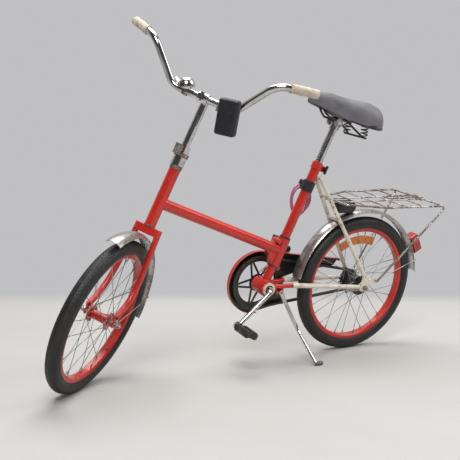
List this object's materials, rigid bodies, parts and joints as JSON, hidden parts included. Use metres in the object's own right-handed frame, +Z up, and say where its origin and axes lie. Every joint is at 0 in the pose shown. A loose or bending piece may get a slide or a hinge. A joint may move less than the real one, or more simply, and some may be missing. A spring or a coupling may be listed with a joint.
{
  "type": "folding bicycle",
  "caption": "Single-tube folding bicycle with small wheels, coaster hub, chain guard, rear carrier and kickstand, standing on its kickstand with the front turned left.",
  "frame": {"origin": "on the floor, under the middle of the bicycle's bounding box", "axes": "+X points the way the bicycle faces (rear wheel to front wheel), +Z up; the bicycle leans to +Y on its kickstand"},
  "size_m": [1.4977, 0.545, 1.139],
  "materials": {
    "red_paint": "gloss, chipped",
    "cream_paint": "gloss, rust chips",
    "black_paint": "worn gloss",
    "chrome": "bright, pitted",
    "rusty_chrome": "brown rust over chrome",
    "dark_steel": "oily, dark",
    "zinc_steel": "dull zinc plate",
    "spoke_steel": "dull",
    "tyre_rubber": "matte",
    "block_rubber": "matte, worn",
    "grip_plastic": "soft, aged",
    "black_plastic": "satin",
    "saddle_vinyl": "grained vinyl",
    "red_lens": "clear gloss",
    "amber_lens": "gloss",
    "pink_sleeve": "translucent over wire"
  },
  "bodies": {
    "rear_frame": {"seat_tube": "red_paint", "thrust_rings": "dark_steel", "chain_stays": "cream_paint", "seat_stays": "cream_paint", "bearing_cups": "cream_paint", "chain": "dark_steel", "chain_guard": "black_paint", "rear_axle": "zinc_steel", "brake_arm": "zinc_steel", "rear_mudguard": "zinc_steel", "carrier_rack": "chrome", "rack_lamp": "black_plastic", "rack_lamp_lens": "red_lens", "tail_lamp": "red_lens", "seat_clamp": "zinc_steel", "lock_bracket": "black_plastic", "lock_coil": "pink_sleeve"},
    "seat_post": {"seat_post": "chrome"},
    "saddle": {"saddle_cover": "saddle_vinyl", "saddle_frame": "black_paint", "saddle_springs": "black_paint", "saddle_clamp": "zinc_steel"},
    "seat_clamp_knob": {"seat_clamp_knob": "zinc_steel"},
    "kickstand": {"kickstand_leg": "chrome", "kickstand_foot": "chrome"},
    "rack_clamp": {"rack_clamp": "rusty_chrome"},
    "crank": {"crank": "chrome", "chainring": "black_paint", "pedal_axles": "dark_steel"},
    "left_pedal": {"left_pedal_cage": "dark_steel", "left_pedal_rubbers": "block_rubber"},
    "right_pedal": {"right_pedal_cage": "zinc_steel", "right_pedal_rubbers": "block_rubber"},
    "rear_sprocket": {"rear_sprocket": "dark_steel"},
    "rear_wheel": {"rear_hub": "black_paint", "rear_spokes": "spoke_steel", "rear_rim": "red_paint", "rear_tyre": "tyre_rubber", "spoke_reflector": "amber_lens"},
    "front_frame": {"main_frame": "red_paint", "headset_cups": "rusty_chrome"},
    "fold_bolt": {"fold_clamp_bolt": "red_paint"},
    "fork": {"fork": "red_paint", "front_axle": "zinc_steel", "front_mudguard": "zinc_steel", "headset_nuts": "rusty_chrome", "lamp_bracket": "rusty_chrome"},
    "front_wheel": {"front_hub": "red_paint", "front_spokes": "spoke_steel", "front_rim": "red_paint", "front_tyre": "tyre_rubber"},
    "stem": {"stem": "rusty_chrome"},
    "handlebar": {"handlebar": "chrome", "grips": "grip_plastic", "bell_base": "rusty_chrome", "bell_dome": "chrome", "horn_box": "black_plastic", "horn_bracket": "zinc_steel"},
    "bell_lever": {"bell_lever": "chrome"}
  },
  "joints": [
    {"name": "fold", "type": "hinge", "parent": "rear_frame", "child": "front_frame", "pos_m": [-0.1092, -0.08482, 0.39083], "axis": [-0.3639, 0.1698, 0.9158], "range_deg": [0, 104]},
    {"name": "fold_bolt_turn", "type": "hinge", "parent": "front_frame", "child": "fold_bolt", "pos_m": [-0.09424, -0.07828, 0.42613], "axis": [0.0001, 0.9833, -0.1822], "range_deg": [0, 340]},
    {"name": "steering", "type": "hinge", "parent": "front_frame", "child": "fork", "pos_m": [0.34279, -0.04739, 0.5931], "axis": [-0.3769, 0.1688, 0.9108], "range_deg": [-125, 45]},
    {"name": "front_wheel_spin", "type": "hinge", "parent": "fork", "child": "front_wheel", "pos_m": [0.54388, -0.07003, 0.23312], "axis": [-0.5978, 0.7068, -0.3784], "continuous": true},
    {"name": "stem_height", "type": "slide", "parent": "fork", "child": "stem", "axis": [-0.3769, 0.1688, 0.9108], "range_m": [-0.06, 0.02]},
    {"name": "bar_roll", "type": "hinge", "parent": "stem", "child": "handlebar", "pos_m": [0.24219, 0.02178, 0.88123], "axis": [-0.5978, 0.7068, -0.3784], "range_deg": [-25, 25]},
    {"name": "bell_lever_press", "type": "hinge", "parent": "handlebar", "child": "bell_lever", "pos_m": [0.29917, -0.02674, 0.93262], "axis": [0.1948, 0.5859, 0.7867], "range_deg": [0, 18], "stiffness_Nm_per_rad": 0.02},
    {"name": "seat_height", "type": "slide", "parent": "rear_frame", "child": "seat_post", "axis": [-0.3639, 0.1698, 0.9158], "range_m": [-0.06, 0.05]},
    {"name": "saddle_tilt", "type": "hinge", "parent": "seat_post", "child": "saddle", "pos_m": [-0.27405, -0.00494, 0.82168], "axis": [0.0001, 0.9833, -0.1822], "range_deg": [-12, 12]},
    {"name": "seat_clamp_turn", "type": "hinge", "parent": "rear_frame", "child": "seat_clamp_knob", "pos_m": [-0.24866, -0.03427, 0.66345], "axis": [0.0001, 0.9833, -0.1822], "range_deg": [-170, 170]},
    {"name": "kickstand_swing", "type": "hinge", "parent": "rear_frame", "child": "kickstand", "pos_m": [-0.11343, -0.08099, 0.24687], "axis": [0.0001, 0.9833, -0.1822], "range_deg": [0, 54]},
    {"name": "rack_clamp_lift", "type": "hinge", "parent": "rear_frame", "child": "rack_clamp", "pos_m": [-0.70564, -0.05454, 0.55379], "axis": [-0.0001, -0.9833, 0.1822], "range_deg": [0, 60]},
    {"name": "crank_spin", "type": "hinge", "parent": "rear_frame", "child": "crank", "pos_m": [-0.06044, -0.10757, 0.26811], "axis": [0.0001, 0.9833, -0.1822], "continuous": true},
    {"name": "left_pedal_spin", "type": "hinge", "parent": "crank", "child": "left_pedal", "pos_m": [0.06787, -0.0616, 0.15407], "axis": [0.0001, 0.9833, -0.1822], "continuous": true},
    {"name": "right_pedal_spin", "type": "hinge", "parent": "crank", "child": "right_pedal", "pos_m": [-0.18875, -0.15748, 0.38287], "axis": [0.0001, 0.9833, -0.1822], "continuous": true},
    {"name": "sprocket_spin", "type": "hinge", "parent": "rear_frame", "child": "rear_sprocket", "pos_m": [-0.45943, -0.11158, 0.2462], "axis": [0.0001, 0.9833, -0.1822], "continuous": true},
    {"name": "rear_wheel_spin", "type": "hinge", "parent": "rear_frame", "child": "rear_wheel", "pos_m": [-0.45943, -0.11158, 0.2462], "axis": [0.0001, 0.9833, -0.1822], "continuous": true}
  ],
  "couplings": [
    {"joint": "sprocket_spin", "follows": "crank_spin", "ratio": 2.5556}
  ]
}
